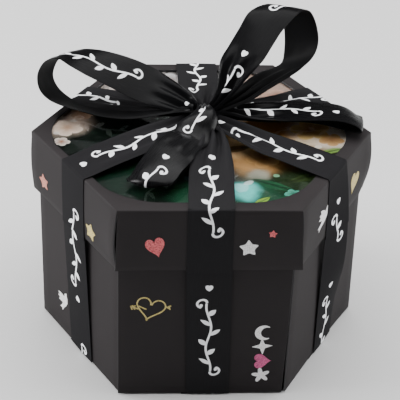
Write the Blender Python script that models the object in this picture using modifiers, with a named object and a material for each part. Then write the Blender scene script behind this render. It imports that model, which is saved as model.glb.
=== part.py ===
"""Hexagonal gift box whose walls fall open when its lid is lifted.

The lid has a round-cornered window with a picture card under clear film.
A satin ribbon passes round all six walls, under the base and over the lid,
and ends in a four-loop bow. Two lower tiers of falling walls stand inside,
round a small lidded gift box. Metres, +Z up, origin under the middle.
"""

import math

import bmesh
import bpy
from mathutils import Matrix, Vector

# Driving sizes
lid_side = 0.0900
lid_top_height = 0.1170
skirt_depth = 0.0350
card_thickness = 0.0010
board_thickness = 0.0013
ribbon_width = 0.0228
ribbon_thickness = 0.0005
piece_gap = 0.0003

# Lid
lid_overlap = 0.0030
wall_clearance = 0.0016
window_border = 0.0074
window_corner_radius = 0.0350
window_corner_steps = 12
corner_groove_width = 0.0005
corner_groove_depth = 0.0006
film_thickness = 0.0003
picture_thickness = 0.0005
sheet_clearance = 0.0005
collar_ledge = 0.0052

# Falling walls
wall_corner_gap = 0.0005
tier_inset = 0.0075
middle_wall_height = 0.0700
inner_wall_height = 0.0540
mat_thickness = 0.0003
mat_margin = 0.0075

# Gift box in the middle
gift_apothem = 0.0280
gift_tray_height = 0.0340
gift_lid_depth = 0.0120
gift_lid_clearance = 0.0005
cushion_thickness = 0.0120
cushion_clearance = 0.0006
cushion_edge = 0.0030
cushion_edge_steps = 3

# Straps of the ribbon
strap_root_radius = 0.0052
strap_fan_length = 0.0270
strap_root_width = 0.0052
strap_bend_steps = 3

# Knot and loops of the bow
knot_radius = 0.0095
knot_height = 0.0120
knot_edge = 0.0030
knot_edge_steps = 3
knot_sides = 20
loop_root_width = 0.0080
loop_clearance = 0.00035
loop_columns = 3
loop_steps = 3

overrun = 0.0010
merge_distance = 0.00001

side_names = ("back_right", "back", "back_left", "front_left", "front", "front_right")
side_step = math.radians(60)
first_side = math.radians(30)

# Each loop: name, azimuth in degrees, reach, rise, then its stations. A station is
# shares of the reach outwards and sideways, a share of the rise, a share of the
# ribbon's width, and the tilt of the band across its width in degrees.
left_loop_shares = (
    (0.00, -0.01, 0.30, 0.00, 0),
    (0.10, -0.03, 0.43, 0.45, -8),
    (0.26, -0.03, 0.60, 1.00, -20),
    (0.46, -0.02, 0.80, 1.00, -20),
    (0.67, 0.00, 0.95, 1.00, -8),
    (0.83, 0.01, 1.00, 1.00, 6),
    (0.95, 0.01, 0.82, 1.00, 6),
    (1.00, 0.00, 0.48, 1.00, 2),
    (0.95, 0.00, 0.16, 1.00, 0),
    (0.84, 0.00, 0.03, 1.00, 0),
    (0.60, -0.01, 0.00, 1.00, 0),
    (0.36, -0.01, 0.00, 0.90, 0),
    (0.14, -0.01, 0.04, 0.45, 0),
    (0.00, 0.00, 0.09, 0.00, 0),
)
tall_loop_shares = (
    (0.00, 0.00, 0.17, 0.00, 0),
    (0.13, -0.01, 0.37, 0.60, 0),
    (0.30, -0.05, 0.62, 1.00, 0),
    (0.46, -0.06, 0.87, 1.00, 0),
    (0.64, -0.06, 1.00, 1.00, 0),
    (0.86, -0.04, 0.90, 1.00, 0),
    (0.97, 0.01, 0.64, 1.00, 0),
    (0.98, 0.04, 0.38, 1.00, 0),
    (0.84, 0.05, 0.26, 1.00, 0),
    (0.56, 0.06, 0.19, 0.80, 0),
    (0.22, 0.03, 0.15, 0.30, 0),
    (0.00, 0.00, 0.13, 0.00, 0),
)
right_loop_shares = (
    (0.00, 0.02, 0.86, 0.00, 0),
    (0.14, 0.08, 0.92, 0.50, 0),
    (0.38, 0.08, 0.95, 1.00, 0),
    (0.62, 0.04, 1.00, 1.00, 0),
    (0.80, 0.01, 1.00, 1.00, 0),
    (0.93, -0.02, 0.86, 1.00, 0),
    (1.00, -0.04, 0.45, 1.00, 0),
    (0.95, -0.03, 0.08, 1.00, 0),
    (0.78, 0.00, 0.00, 1.00, 0),
    (0.50, 0.04, 0.00, 0.90, 0),
    (0.20, 0.05, 0.08, 0.45, 0),
    (0.00, 0.02, 0.26, 0.00, 0),
)
front_loop_shares = (
    (0.00, -0.02, 1.00, 0.00, 0),
    (0.14, -0.04, 1.06, 0.60, 12),
    (0.36, -0.05, 1.05, 1.00, 16),
    (0.60, -0.06, 1.00, 1.00, 12),
    (0.82, -0.06, 0.88, 1.00, 5),
    (0.95, -0.05, 0.66, 1.00, 0),
    (1.00, -0.04, 0.36, 1.00, 0),
    (0.93, -0.04, 0.07, 1.00, 0),
    (0.70, -0.03, 0.00, 1.00, 0),
    (0.42, -0.03, 0.00, 0.90, 0),
    (0.16, -0.02, 0.12, 0.45, 0),
    (0.00, -0.01, 0.30, 0.00, 0),
)
left_loop_reach = 0.0905
left_loop_rise = 0.0317
tall_loop_reach = 0.0665
tall_loop_rise = 0.0615
right_loop_reach = 0.0850
right_loop_rise = 0.0086
front_loop_reach = 0.0690
front_loop_rise = 0.0078
bow_loops = (
    ("bow_loop_left", 161, left_loop_reach, left_loop_rise, left_loop_shares),
    ("bow_loop_tall", 33, tall_loop_reach, tall_loop_rise, tall_loop_shares),
    ("bow_loop_right", 4, right_loop_reach, right_loop_rise, right_loop_shares),
    ("bow_loop_front", -112, front_loop_reach, front_loop_rise, front_loop_shares),
)

# Sizes that follow from those above
half = 0.5
hex_height_share = math.cos(math.radians(30))
hex_half_side_share = math.tan(math.radians(30))
lid_apothem = lid_side * hex_height_share
lid_inside = lid_apothem - card_thickness
body_apothem = lid_inside - wall_clearance
window_apothem = lid_apothem - window_border
base_bottom = ribbon_thickness + piece_gap
tier_rise = board_thickness + piece_gap
wall_top = lid_top_height - skirt_depth + lid_overlap
outer_wall_height = wall_top - base_bottom
strap_stand_off = piece_gap + ribbon_thickness * half
strap_outer = lid_apothem + strap_stand_off
knot_bottom = ribbon_thickness + piece_gap + piece_gap
loop_floor = knot_bottom + ribbon_thickness * half + loop_clearance


def clear_scene():
    for old in list(bpy.data.objects):
        bpy.data.objects.remove(old, do_unlink=True)


def new_collection(name):
    group = bpy.data.collections.new(name)
    bpy.context.scene.collection.children.link(group)
    return group


def material(name, colour, roughness, metallic=0.0):
    made = bpy.data.materials.new(name)
    made.use_nodes = True
    shader = made.node_tree.nodes["Principled BSDF"]
    shader.inputs["Base Color"].default_value = (*colour, 1.0)
    shader.inputs["Roughness"].default_value = roughness
    shader.inputs["Metallic"].default_value = metallic
    return made


def new_empty(group, name, location, azimuth=0.0):
    empty = bpy.data.objects.new(name, None)
    empty.location = location
    empty.rotation_euler = (0.0, 0.0, azimuth)
    group.objects.link(empty)
    return empty


def new_object(group, name, bm, finish=None, parent=None):
    mesh = bpy.data.meshes.new(name)
    bm.to_mesh(mesh)
    bm.free()
    obj = bpy.data.objects.new(name, mesh)
    group.objects.link(obj)
    if finish is not None:
        mesh.materials.append(finish)
    if parent is not None:
        obj.parent = parent
    return obj


def box_mesh(low, high):
    """A box between two corners."""
    bm = bmesh.new()
    low = Vector(low)
    high = Vector(high)
    size = high - low
    place = Matrix.Translation((low + high) * half) @ Matrix.Diagonal((*size, 1.0))
    bmesh.ops.create_cube(bm, size=1.0, matrix=place)
    return bm


def hexagon_mesh(apothem, bottom, top):
    """A hexagonal prism with corners on the X axis."""
    bm = bmesh.new()
    place = Matrix.Translation((0.0, 0.0, (bottom + top) * half))
    place = place @ Matrix.Rotation(first_side, 4, "Z")
    bmesh.ops.create_cone(
        bm,
        cap_ends=True,
        segments=6,
        radius1=apothem / hex_height_share,
        radius2=apothem / hex_height_share,
        depth=top - bottom,
        matrix=place,
    )
    return bm


def add_bevel(obj, width, steps):
    rounding = obj.modifiers.new("rounded edges", "BEVEL")
    rounding.width = width
    rounding.segments = steps
    rounding.limit_method = "ANGLE"


def cut(obj, cutters, tool):
    tool.hide_render = True
    tool.display_type = "WIRE"
    tool.parent = obj.parent
    cutters.objects.link(tool)
    boolean = obj.modifiers.new("cut " + tool.name, "BOOLEAN")
    boolean.operation = "DIFFERENCE"
    boolean.solver = "EXACT"
    boolean.object = tool


def cutter(name, bm):
    mesh = bpy.data.meshes.new(name)
    bm.to_mesh(mesh)
    bm.free()
    return bpy.data.objects.new(name, mesh)


def band_object(group, name, centres, spans, columns, finish, parent):
    """A ribbon through the given centres, each with its span across the ribbon."""
    rows = len(centres)
    bm = bmesh.new()
    bmesh.ops.create_grid(bm, x_segments=rows - 1, y_segments=columns, size=1.0)
    for vert in bm.verts:
        row = round((vert.co.x + 1.0) * half * (rows - 1))
        vert.co = centres[row] + spans[row] * (vert.co.y * half)
    obj = new_object(group, name, bm, finish, parent)
    obj.data.shade_smooth()
    skin = obj.modifiers.new("ribbon thickness", "SOLIDIFY")
    skin.thickness = ribbon_thickness
    skin.offset = 0.0
    return obj


def smooth_stations(stations, steps):
    """Points of a Catmull-Rom curve through the stations."""
    ends = [stations[0] * 2.0 - stations[1], *stations, stations[-1] * 2.0 - stations[-2]]
    points = []
    for before, start, end, after in zip(ends, ends[1:], ends[2:], ends[3:]):
        for step in range(steps):
            t = step / steps
            points.append(
                (
                    start * 2.0
                    + (end - before) * t
                    + (before * 2.0 - start * 5.0 + end * 4.0 - after) * t**2
                    + (start * 3.0 - before - end * 3.0 + after) * t**3
                )
                * half
            )
    points.append(stations[-1].copy())
    return points


def make_lid_card(parts, cutters, axis, finish):
    """The lid: hexagonal top with its window, and six flaps glued at the corners."""
    lid = new_object(parts, "lid_card", hexagon_mesh(lid_apothem, -skirt_depth, 0.0), finish, axis)
    inside = cutter("lid_inside", hexagon_mesh(lid_inside, -skirt_depth - overrun, -card_thickness))
    cut(lid, cutters, inside)
    window = cutter("lid_window", hexagon_mesh(window_apothem, -card_thickness - overrun, overrun))
    rounding = window.modifiers.new("round corners", "BEVEL")
    rounding.width = window_corner_radius * hex_half_side_share
    rounding.segments = window_corner_steps
    rounding.limit_method = "WEIGHT"
    weights = window.data.attributes.new("bevel_weight_edge", "FLOAT", "EDGE")
    for edge in window.data.edges:
        if is_upright(window.data, edge):
            weights.data[edge.index].value = 1.0
    cut(lid, cutters, window)
    for corner in range(6):
        groove = cutter("corner_groove_%d" % (corner + 1), groove_mesh(corner * side_step))
        cut(lid, cutters, groove)


def is_upright(mesh, edge):
    ends = [mesh.vertices[i].co for i in edge.vertices]
    return abs(ends[0].z - ends[1].z) > merge_distance


def groove_mesh(azimuth):
    """A thin upright cutter at one corner of the lid, where two flaps meet."""
    bm = box_mesh(
        (lid_side - corner_groove_depth, -corner_groove_width * half, -skirt_depth - overrun),
        (lid_side + overrun, corner_groove_width * half, -card_thickness),
    )
    bm.transform(Matrix.Rotation(azimuth, 4, "Z"))
    return bm


def make_lid_inside(parts, axis, finishes):
    """Film, picture card, and the collar that holds them and stands on the walls."""
    sheet_apothem = lid_inside - sheet_clearance
    film_top = -card_thickness - piece_gap
    film_bottom = film_top - film_thickness
    picture_top = film_bottom - piece_gap
    picture_bottom = picture_top - picture_thickness
    film = hexagon_mesh(sheet_apothem, film_bottom, film_top)
    new_object(parts, "window_film", film, finishes["film"], axis)
    picture = hexagon_mesh(sheet_apothem, picture_bottom, picture_top)
    new_object(parts, "picture_card", picture, finishes["picture"], axis)
    outside = lid_inside - piece_gap
    inside = outside - collar_ledge
    top = picture_bottom - piece_gap
    bottom = wall_top + piece_gap - lid_top_height
    outline = (
        (outside, top),
        (outside, top - card_thickness),
        (inside + card_thickness, top - card_thickness),
        (inside + card_thickness, bottom + card_thickness),
        (outside, bottom + card_thickness),
        (outside, bottom),
        (inside, bottom),
        (inside, top),
    )
    bm = bmesh.new()
    corners = [bm.verts.new((x / hex_height_share, 0.0, z)) for x, z in outline]
    for first, second in zip(corners, corners[1:] + corners[:1]):
        bm.edges.new((first, second))
    mesh = bpy.data.meshes.new("lid_collar")
    bm.to_mesh(mesh)
    bm.free()
    collar = bpy.data.objects.new("lid_collar", mesh)
    mesh.materials.append(finishes["card"])
    parts.objects.link(collar)
    collar.parent = axis
    turn = collar.modifiers.new("six sides", "SCREW")
    turn.steps = 6
    turn.render_steps = 6
    turn.use_merge_vertices = True
    turn.merge_threshold = merge_distance
    turn.use_smooth_shade = False


def make_tier(parts, prefix, apothem, bottom, height, finishes, mats):
    """One base board with six falling walls, each on an empty at its fold."""
    board = hexagon_mesh(apothem - card_thickness - piece_gap, bottom, bottom + board_thickness)
    new_object(parts, prefix + "_base", board, finishes["card"])
    width = 2.0 * (apothem - card_thickness) * hex_half_side_share - wall_corner_gap
    folds = {}
    for number, side in enumerate(side_names):
        azimuth = first_side + number * side_step
        place = (apothem * math.cos(azimuth), apothem * math.sin(azimuth), bottom)
        fold = new_empty(parts, "%s_fold_%s" % (prefix, side), place, azimuth)
        wall = box_mesh((-card_thickness, -width * half, 0.0), (0.0, width * half, height))
        new_object(parts, "%s_wall_%s" % (prefix, side), wall, finishes["card"], fold)
        if mats:
            face = -card_thickness - piece_gap
            reach = width * half - mat_margin
            mat = box_mesh(
                (face - mat_thickness, -reach, mat_margin),
                (face, reach, height - mat_margin),
            )
            new_object(parts, "%s_photo_%s" % (prefix, side), mat, finishes["photo"], fold)
        folds[side] = fold
    return folds


def make_gift_box(parts, cutters, bottom, finishes):
    """The small box in the middle: tray, cushion and lift-off lid."""
    tray = hexagon_mesh(gift_apothem, bottom, bottom + gift_tray_height)
    tray = new_object(parts, "gift_tray", tray, finishes["card"])
    hollow = hexagon_mesh(
        gift_apothem - card_thickness,
        bottom + card_thickness,
        bottom + gift_tray_height + overrun,
    )
    cut(tray, cutters, cutter("gift_tray_inside", hollow))
    cushion_bottom = bottom + card_thickness + piece_gap
    cushion = hexagon_mesh(
        gift_apothem - card_thickness - cushion_clearance,
        cushion_bottom,
        cushion_bottom + cushion_thickness,
    )
    cushion = new_object(parts, "gift_cushion", cushion, finishes["cushion"])
    add_bevel(cushion, cushion_edge, cushion_edge_steps)
    roof = bottom + gift_tray_height + piece_gap + card_thickness
    axis = new_empty(parts, "gift_lid_lift", (0.0, 0.0, roof))
    inside = gift_apothem + gift_lid_clearance
    lid = hexagon_mesh(inside + card_thickness, -gift_lid_depth, 0.0)
    lid = new_object(parts, "gift_lid", lid, finishes["gift"], axis)
    hollow = hexagon_mesh(inside, -gift_lid_depth - overrun, -card_thickness)
    cut(lid, cutters, cutter("gift_lid_inside", hollow))


def make_lid_straps(parts, axis, finish):
    """Six arms of ribbon from the knot over the lid's edge and down its skirt."""
    fan_end = strap_root_radius + strap_fan_length
    bend_radius = strap_stand_off
    for number, side in enumerate(side_names):
        azimuth = first_side + number * side_step
        out = Vector((math.cos(azimuth), math.sin(azimuth), 0.0))
        across = Vector((-math.sin(azimuth), math.cos(azimuth), 0.0))
        up = Vector((0.0, 0.0, 1.0))
        fan_middle = (strap_root_radius + fan_end) * half
        fan_width = (strap_root_width + ribbon_width) * half
        path = [
            (strap_root_radius, strap_stand_off, strap_root_width),
            (fan_middle, strap_stand_off, fan_width),
            (fan_end, strap_stand_off, ribbon_width),
        ]
        for step in range(strap_bend_steps + 1):
            angle = math.radians(90) * (1.0 - step / strap_bend_steps)
            x = lid_apothem + bend_radius * math.cos(angle)
            path.append((x, bend_radius * math.sin(angle), ribbon_width))
        path.append((strap_outer, -skirt_depth, ribbon_width))
        centres = [out * x + up * z for x, z, _ in path]
        spans = [across * width for _, _, width in path]
        band_object(parts, "lid_strap_" + side, centres, spans, 1, finish, axis)


def make_wall_straps(parts, folds, finish):
    """The ribbon's run down each wall, taut from the skirt's edge to the fold."""
    across = Vector((0.0, ribbon_width, 0.0))
    top = lid_top_height - skirt_depth - piece_gap - base_bottom
    for side, fold in folds.items():
        foot = Vector((strap_stand_off, 0.0, piece_gap))
        head = Vector((strap_outer - body_apothem, 0.0, top))
        centres = [foot, (foot + head) * half, head]
        band_object(parts, "wall_strap_" + side, centres, [across] * 3, 1, finish, fold)


def make_under_ribbon(parts, cutters, finish):
    """Three runs of ribbon crossing under the base, joined as one flat star."""
    first = None
    for number in range(3):
        run = box_mesh(
            (-body_apothem, -ribbon_width * half, 0.0),
            (body_apothem, ribbon_width * half, ribbon_thickness),
        )
        run.transform(Matrix.Rotation(first_side + number * side_step, 4, "Z"))
        if first is None:
            first = new_object(parts, "under_ribbon", run, finish)
            continue
        tool = cutter("under_run_%d" % number, run)
        cut(first, cutters, tool)
        first.modifiers[-1].operation = "UNION"


def make_bow(parts, axis, finish):
    """The knot on the straps' inner ends, and four loops of unlike size."""
    bm = bmesh.new()
    bmesh.ops.create_cone(
        bm,
        cap_ends=True,
        segments=knot_sides,
        radius1=knot_radius,
        radius2=knot_radius,
        depth=knot_height,
        matrix=Matrix.Translation((0.0, 0.0, knot_bottom + knot_height * half)),
    )
    knot = new_object(parts, "bow_knot", bm, finish, axis)
    add_bevel(knot, knot_edge, knot_edge_steps)
    root_radius = knot_radius + piece_gap
    for name, degrees, reach, rise, shares in bow_loops:
        azimuth = math.radians(degrees)
        out = Vector((math.cos(azimuth), math.sin(azimuth), 0.0))
        side = Vector((-math.sin(azimuth), math.cos(azimuth), 0.0))
        up = Vector((0.0, 0.0, 1.0))
        centres = []
        spans = []
        for out_share, side_share, up_share, width_share, tilt in shares:
            distance = root_radius + (reach - root_radius) * out_share
            height = loop_floor + (rise - loop_floor) * up_share
            centres.append(out * distance + side * reach * side_share + up * height)
            width = loop_root_width + (ribbon_width - loop_root_width) * width_share
            lean = math.radians(tilt)
            spans.append((side * math.cos(lean) + up * math.sin(lean)) * width)
        centres = smooth_stations(centres, loop_steps)
        spans = smooth_stations(spans, loop_steps)
        band_object(parts, name, centres, spans, loop_columns, finish, axis)


def main():
    clear_scene()
    parts = new_collection("hexagonal explosion box")
    cutters = new_collection("cutters")
    finishes = {
        "card": material("black_card", (0.016, 0.015, 0.016), 0.85),
        "photo": material("photo_mat", (0.62, 0.50, 0.44), 0.45),
        "film": material("clear_film", (0.85, 0.88, 0.88), 0.08),
        "picture": material("picture_print", (0.16, 0.24, 0.15), 0.40),
        "gift": material("rose_card", (0.42, 0.10, 0.13), 0.70),
        "cushion": material("cream_velvet", (0.70, 0.62, 0.52), 0.95),
        "ribbon": material("black_satin", (0.010, 0.010, 0.011), 0.38),
    }
    lid_axis = new_empty(parts, "lid_lift", (0.0, 0.0, lid_top_height))
    make_lid_card(parts, cutters, lid_axis, finishes["card"])
    make_lid_inside(parts, lid_axis, finishes)
    folds = make_tier(
        parts, "outer", body_apothem, base_bottom, outer_wall_height, finishes, True
    )
    middle_bottom = base_bottom + tier_rise
    middle_apothem = body_apothem - tier_inset
    make_tier(parts, "middle", middle_apothem, middle_bottom, middle_wall_height, finishes, True)
    inner_bottom = middle_bottom + tier_rise
    inner_apothem = middle_apothem - tier_inset
    make_tier(parts, "inner", inner_apothem, inner_bottom, inner_wall_height, finishes, False)
    make_gift_box(parts, cutters, inner_bottom + tier_rise, finishes)
    make_lid_straps(parts, lid_axis, finishes["ribbon"])
    make_wall_straps(parts, folds, finishes["ribbon"])
    make_under_ribbon(parts, cutters, finishes["ribbon"])
    make_bow(parts, lid_axis, finishes["ribbon"])


main()
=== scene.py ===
import math
from functools import partial

import bmesh
import bpy
from mathutils import Matrix, Vector


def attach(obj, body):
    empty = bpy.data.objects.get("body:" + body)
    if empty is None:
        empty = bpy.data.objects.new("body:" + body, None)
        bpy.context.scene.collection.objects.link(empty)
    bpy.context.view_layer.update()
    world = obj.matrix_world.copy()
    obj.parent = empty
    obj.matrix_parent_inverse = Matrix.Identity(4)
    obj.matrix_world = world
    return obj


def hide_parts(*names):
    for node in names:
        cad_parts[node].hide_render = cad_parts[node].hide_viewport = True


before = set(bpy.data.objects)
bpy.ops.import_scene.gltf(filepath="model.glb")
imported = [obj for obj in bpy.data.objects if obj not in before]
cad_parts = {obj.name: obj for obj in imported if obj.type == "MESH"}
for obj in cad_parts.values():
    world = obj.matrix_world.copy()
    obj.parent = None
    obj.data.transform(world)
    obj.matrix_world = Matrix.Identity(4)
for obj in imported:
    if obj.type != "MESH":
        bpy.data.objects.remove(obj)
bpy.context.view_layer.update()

mm = 0.001
sides = {"back_right": 30, "back": 90, "back_left": 150, "front_left": 210, "front": 270, "front_right": 330}

# view and studio

viewpoint = {
    "place": (-43.07, -632.08, 475.72), "turn": 3.901, "down": 32.403, "roll": 2.142, "lens": 123.6, "sensor": 36,
}

bpy.ops.object.camera_add(location=[v * mm for v in viewpoint["place"]])
camera = bpy.context.object
camera.data.sensor_width = viewpoint["sensor"]
camera.data.lens = viewpoint["lens"]
camera.data.clip_start = 0.01
camera.rotation_mode = "QUATERNION"
camera.rotation_quaternion = (
    Matrix.Rotation(math.radians(-viewpoint["turn"]), 3, "Z")
    @ Matrix.Rotation(math.radians(90 - viewpoint["down"]), 3, "X")
    @ Matrix.Rotation(math.radians(viewpoint["roll"]), 3, "Z")
).to_quaternion()
bpy.context.scene.camera = camera

studio = {
    "sky": 0.12,  # light from all round
    "backdrop": 1.0,  # what the camera sees beyond the floor
    "floorSize": 6.0, "floorPaint": {"Base Color": (0.62, 0.62, 0.62, 1), "Roughness": 0.9, "Specular IOR Level": 0.0},
    "lamps": (  # name, place, aim, width, height, watts
        ("top_softbox", (0, 0.4, 1.9), (0, 0.0, 0.1), 2.8, 2.2, 94),
        ("front_fill", (0.1, -1.7, 1.1), (0, 0, 0.06), 1.4, 0.8, 1.5),
        ("left_softbox", (-1.2, 0.1, 0.45), (0, 0, 0.06), 0.8, 0.6, 25),
        ("right_softbox", (1.2, 0.1, 0.45), (0, 0, 0.06), 0.8, 0.6, 15),
    ),
}

world = bpy.data.worlds.new("pale_studio")
bpy.context.scene.world = world
world.use_nodes = True
background = world.node_tree.nodes["Background"].inputs
background["Color"].default_value = (1, 1, 1, 1)
strength = world.node_tree.nodes.new("ShaderNodeMapRange")
strength.inputs["To Min"].default_value = studio["sky"]
strength.inputs["To Max"].default_value = studio["backdrop"]
seen = world.node_tree.nodes.new("ShaderNodeLightPath").outputs["Is Camera Ray"]
world.node_tree.links.new(seen, strength.inputs["Value"])
world.node_tree.links.new(strength.outputs[0], background["Strength"])
for name, place, aim, width, height, watts in studio["lamps"]:
    bpy.ops.object.light_add(type="AREA", location=place)
    lamp = bpy.context.object
    lamp.name = name
    lamp.data.shape = "RECTANGLE"
    lamp.data.size, lamp.data.size_y = width, height
    lamp.data.energy = watts
    lamp.rotation_mode = "QUATERNION"
    lamp.rotation_quaternion = (Vector(aim) - Vector(place)).to_track_quat("-Z", "Y")

bpy.ops.mesh.primitive_plane_add(size=studio["floorSize"], location=(0, 0, 0))
studioFloor = bpy.context.object
studioFloor.name = "studio_floor"
floorPaint = bpy.data.materials.new("floor_paint")
floorPaint.use_nodes = True
for label, value in studio["floorPaint"].items():
    floorPaint.node_tree.nodes["Principled BSDF"].inputs[label].default_value = value
studioFloor.data.materials.append(floorPaint)
print("studio and camera set")

# node helpers: a socket knows its own tree, so only the first node of a chain needs to be told


def link(value, socket):
    value.id_data.links.new(value, socket)


def fill(socket, value):
    # a number, a colour or another node's output goes in
    if isinstance(value, (int, float)):
        socket.default_value = value
    elif isinstance(value, tuple):
        socket.default_value = (*value, 1)
    else:
        link(value, socket)


def maths(operation, *values):
    tree = next(value.id_data for value in values if not isinstance(value, (int, float)))
    node = tree.nodes.new("ShaderNodeMath")
    node.operation = operation
    for socket, value in zip(node.inputs, values):
        fill(socket, value)
    return node.outputs[0]


plus, minus, times, over = (partial(maths, name) for name in ("ADD", "SUBTRACT", "MULTIPLY", "DIVIDE"))
less, greater, larger = (partial(maths, name) for name in ("LESS_THAN", "GREATER_THAN", "MAXIMUM"))
floor, fraction, modulo = (partial(maths, name) for name in ("FLOOR", "FRACT", "FLOORED_MODULO"))
sine, cosine, positive = (partial(maths, name) for name in ("SINE", "COSINE", "ABSOLUTE"))


def between(value, low, high):
    return times(greater(value, low), less(value, high))


def distance(dx, dy):
    return maths("SQRT", plus(times(dx, dx), times(dy, dy)))


def mixed(factor, first, second):
    node = factor.id_data.nodes.new("ShaderNodeMix")
    node.data_type = "RGBA"
    for number, value in ((0, factor), (6, first), (7, second)):  # the sockets of a colour mix
        fill(node.inputs[number], value)
    return node.outputs[2]


def softStep(value, low, high):
    node = value.id_data.nodes.new("ShaderNodeMapRange")
    node.interpolation_type = "SMOOTHSTEP"
    for label, amount in (("Value", value), ("From Min", low), ("From Max", high)):
        fill(node.inputs[label], amount)
    return node.outputs[0]


def noise(where, scale, detail, roughness=0.5):
    node = where.id_data.nodes.new("ShaderNodeTexNoise")
    for label, value in (("Vector", where), ("Scale", scale), ("Detail", detail), ("Roughness", roughness)):
        fill(node.inputs[label], value)
    return node.outputs[0]


def objectPlace(tree):
    return tree.nodes.new("ShaderNodeTexCoord").outputs["Object"]


def parted(where):
    node = where.id_data.nodes.new("ShaderNodeSeparateXYZ")
    link(where, node.inputs[0])
    return node.outputs


def mapped(where, label, amounts):
    # the place moved or stretched by a Mapping node's Location or Scale
    node = where.id_data.nodes.new("ShaderNodeMapping")
    node.inputs[label].default_value = amounts
    link(where, node.inputs["Vector"])
    return node.outputs[0]


def newGroup(name, inputs, outputs):
    group = bpy.data.node_groups.new(name, "ShaderNodeTree")
    for label, value in inputs:
        socket = group.interface.new_socket(label, in_out="INPUT", socket_type="NodeSocketFloat")
        socket.default_value = value
    for label in outputs:
        group.interface.new_socket(label, in_out="OUTPUT", socket_type="NodeSocketFloat")
    return group, group.nodes.new("NodeGroupInput").outputs, group.nodes.new("NodeGroupOutput").inputs


def useGroup(tree, group, **values):
    node = tree.nodes.new("ShaderNodeGroup")
    node.node_tree = group
    for label, value in values.items():
        fill(node.inputs[label], value)
    return node.outputs


def newFinish(name, colour, roughness, **sockets):
    finish = bpy.data.materials.new(name)
    finish.use_nodes = True
    finish.diffuse_color = (*colour, 1)
    shader = finish.node_tree.nodes["Principled BSDF"].inputs
    shader["Base Color"].default_value = (*colour, 1)
    shader["Roughness"].default_value = roughness
    for label, value in sockets.items():
        shader[label.replace("_", " ")].default_value = value
    return finish, finish.node_tree, shader


def bump(shader, height, depth, strength=1.0):
    node = height.id_data.nodes.new("ShaderNodeBump")
    for label, value in (("Distance", depth), ("Strength", strength), ("Height", height)):
        fill(node.inputs[label], value)
    link(node.outputs["Normal"], shader["Normal"])


# finishes


def makePaperGrain():
    # soft clouding and short fibres of pressed card
    group, given, wanted = newGroup("paper_grain", [("Cloud", 60.0), ("Fibre", 2600.0)], ["Tone", "Height"])
    where = objectPlace(group)
    cloud, fibre = noise(where, given["Cloud"], 4), noise(where, given["Fibre"], 5, 0.7)
    link(plus(times(cloud, 0.6), times(fibre, 0.4)), wanted["Tone"])
    link(fibre, wanted["Height"])
    return group


cardGrain = {"swing": 0.16, "depth": 0.00003}  # how far the roughness swings, and the bump's depth


def makeCard(name, dark, light, roughness, **sockets):
    finish, tree, shader = newFinish(name, light, roughness, **sockets)
    grain = useGroup(tree, paperGrain)
    link(mixed(grain["Tone"], dark, light), shader["Base Color"])
    link(plus(times(grain["Tone"], cardGrain["swing"]), roughness - cardGrain["swing"] / 2), shader["Roughness"])
    bump(shader, grain["Height"], cardGrain["depth"])
    return finish


ribbonWidth = 22.8
ribbonPrint = {  # in mm: along the ribbon from where a run starts, and across from the vine
    "repeat": 86.0, "stop": 54.5, "wave": 27.3, "sway": 1.3, "stroke": 0.58,
    "leaves": (8.4, 46.8), "leafStep": 6.4, "leaf": (3.2, 1.3), "leafTurn": 0.9, "leafAt": (3.2, 2.3),
    "curl": 2.5, "curlStroke": 0.62, "curlAt": (5.0, 2.25), "curlOpen": 2.25, "berry": 0.85, "berryAt": (1.05, 0.42),
    "heart": 1.7, "heartAt": 59.0,
    "gathered": (0.42, 0.6),  # the share of its width below which a pleated ribbon hides the print
    "threads": (110, 3.0, 1),
}


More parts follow.
